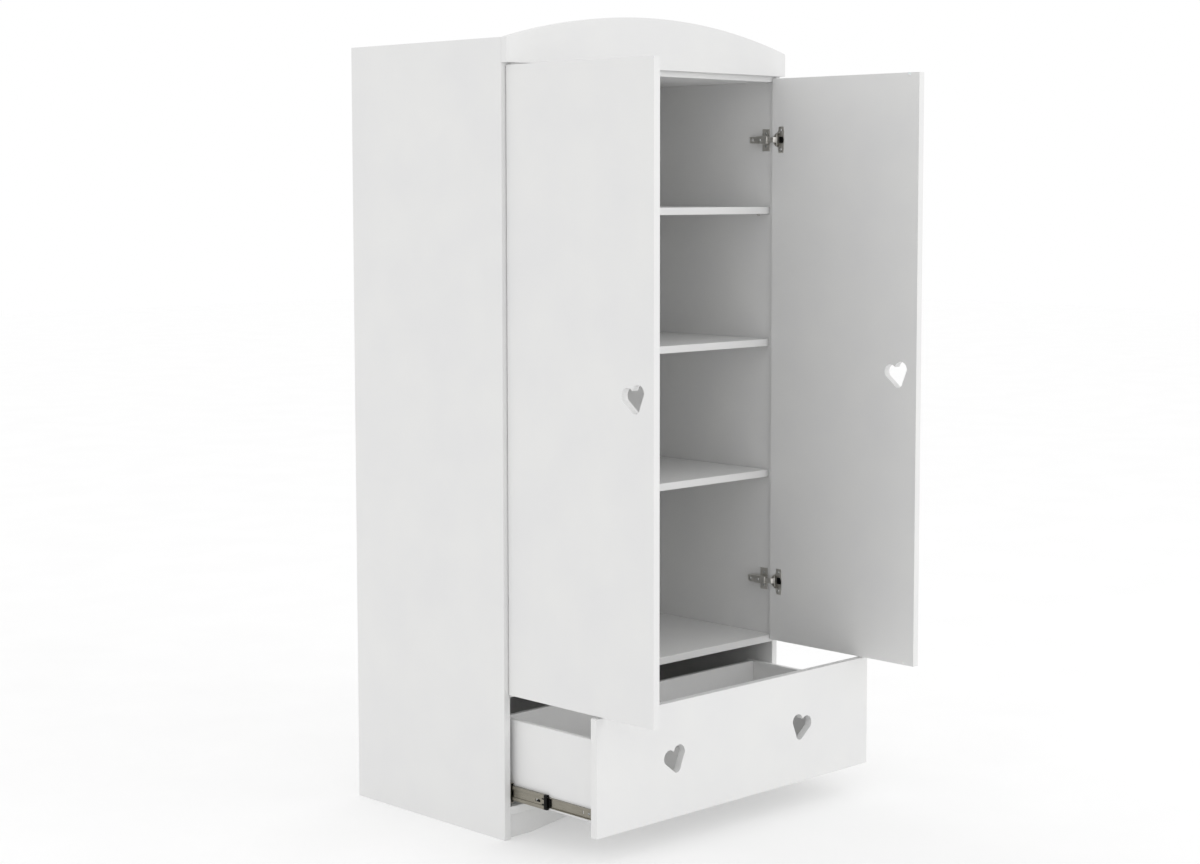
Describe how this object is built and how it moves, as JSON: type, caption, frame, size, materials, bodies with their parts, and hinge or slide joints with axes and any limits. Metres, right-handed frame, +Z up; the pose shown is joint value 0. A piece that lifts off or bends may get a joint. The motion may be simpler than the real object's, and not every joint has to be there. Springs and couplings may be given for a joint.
{
  "type": "wardrobe with doors",
  "caption": "White wardrobe with hinged doors, heart-shaped pull cut-outs, an arched crown board, inner shelves and a full-width drawer on ball-bearing slides.",
  "frame": {"origin": "On the floor under the middle of the box round the wardrobe as stored, with both doors open at a right angle and the drawer pulled out.", "axes": "+Z up, the front faces -Y, +X to the right of someone looking at the front"},
  "size_m": [0.93, 1.0046, 1.882],
  "materials": {
    "white_lacquer": "satin white lacquer over fibreboard",
    "painted_hardboard": "white painted hardboard, slightly duller",
    "beech": "plain turned beech",
    "nickel_plate": "bright nickel plate",
    "chrome_tube": "polished chrome tube",
    "zinc_casting": "dull zinc casting",
    "zinc_screw": "bright zinc-plated steel",
    "slide_steel": "warm grey zinc-plated sheet steel",
    "ball_steel": "ground steel balls in a sheet cage",
    "black_plastic": "moulded black plastic",
    "clear_bumper": "soft translucent bumper"
  },
  "bodies": {
    "carcass": {"side_left": "white_lacquer", "side_right": "white_lacquer", "partition": "white_lacquer", "top_panel": "white_lacquer", "floor_panel": "white_lacquer", "base_panel": "white_lacquer", "plinth_front": "white_lacquer", "plinth_rear": "white_lacquer", "back_panel": "painted_hardboard", "crown": "white_lacquer", "shelf_upper": "white_lacquer", "shelf_middle": "white_lacquer", "shelf_lower": "white_lacquer", "shelf_pins": "nickel_plate", "hanging_rail": "chrome_tube", "rail_sockets": "zinc_casting", "wood_dowels": "beech", "cam_locks": "zinc_casting", "cam_bolts": "zinc_screw", "crown_brackets": "zinc_screw", "wall_brackets": "zinc_screw", "bracket_screws": "zinc_screw", "back_nails": "zinc_screw", "hinge_plates": "nickel_plate", "hinge_arms": "nickel_plate", "hinge_plate_screws": "zinc_screw", "hinge_arm_screws": "zinc_screw", "arm_pins": "nickel_plate", "slide_outer_left": "slide_steel", "slide_outer_right": "slide_steel", "slide_end_caps": "black_plastic", "slide_screws": "zinc_screw"},
    "left_links": {"hinge_links_left": "nickel_plate"},
    "left_door": {"door_left": "white_lacquer", "hinge_cups_left": "nickel_plate", "cup_pins_left": "nickel_plate", "cup_screws_left": "zinc_screw", "door_bumpers_left": "clear_bumper"},
    "right_links": {"hinge_links_right": "nickel_plate"},
    "right_door": {"door_right": "white_lacquer", "hinge_cups_right": "nickel_plate", "cup_pins_right": "nickel_plate", "cup_screws_right": "zinc_screw", "door_bumpers_right": "clear_bumper"},
    "drawer": {"drawer_front": "white_lacquer", "drawer_side_left": "white_lacquer", "drawer_side_right": "white_lacquer", "drawer_back": "white_lacquer", "drawer_bottom": "painted_hardboard", "slide_inner_left": "slide_steel", "slide_inner_right": "slide_steel", "slide_levers": "black_plastic", "slide_inner_screws": "zinc_screw", "drawer_screws": "zinc_screw"},
    "slide_middles": {"slide_mid_left": "slide_steel", "slide_mid_right": "slide_steel", "slide_mid_bumpers": "black_plastic"},
    "outer_cages": {"ball_cages_outer": "ball_steel"},
    "inner_cages": {"ball_cages_inner": "ball_steel"}
  },
  "joints": [
    {"name": "left_link_swing", "type": "hinge", "parent": "carcass", "child": "left_links", "pos_m": [-0.4282, -0.02775, 0], "axis": [0, 0, 1], "range_deg": [-37.69, 4.23]},
    {"name": "left_door_swing", "type": "hinge", "parent": "left_links", "child": "left_door", "pos_m": [-0.4371, -0.05305, 0], "axis": [0, 0, 1], "range_deg": [-14.18, 127.64]},
    {"name": "right_link_swing", "type": "hinge", "parent": "carcass", "child": "right_links", "pos_m": [0.4282, -0.02775, 0], "axis": [0, 0, -1], "range_deg": [-37.69, 4.23]},
    {"name": "right_door_swing", "type": "hinge", "parent": "right_links", "child": "right_door", "pos_m": [0.4371, -0.05305, 0], "axis": [0, 0, -1], "range_deg": [-14.18, 127.64]},
    {"name": "drawer_slide", "type": "slide", "parent": "carcass", "child": "drawer", "axis": [0, -1, 0], "range_m": [-0.28, 0.07]},
    {"name": "middle_member_slide", "type": "slide", "parent": "carcass", "child": "slide_middles", "axis": [0, -1, 0], "range_m": [-0.1209, 0.0306]},
    {"name": "outer_cage_roll", "type": "slide", "parent": "carcass", "child": "outer_cages", "axis": [0, -1, 0], "range_m": [-0.0607, 0.01555]},
    {"name": "inner_cage_roll", "type": "slide", "parent": "carcass", "child": "inner_cages", "axis": [0, -1, 0], "range_m": [-0.2007, 0.05055]}
  ],
  "couplings": [
    {"joint": "left_link_swing", "follows": "left_door_swing", "ratio": -0.29491},
    {"joint": "right_link_swing", "follows": "right_door_swing", "ratio": -0.29491},
    {"joint": "middle_member_slide", "follows": "drawer_slide", "ratio": 0.43},
    {"joint": "outer_cage_roll", "follows": "drawer_slide", "ratio": 0.215},
    {"joint": "inner_cage_roll", "follows": "drawer_slide", "ratio": 0.715}
  ]
}
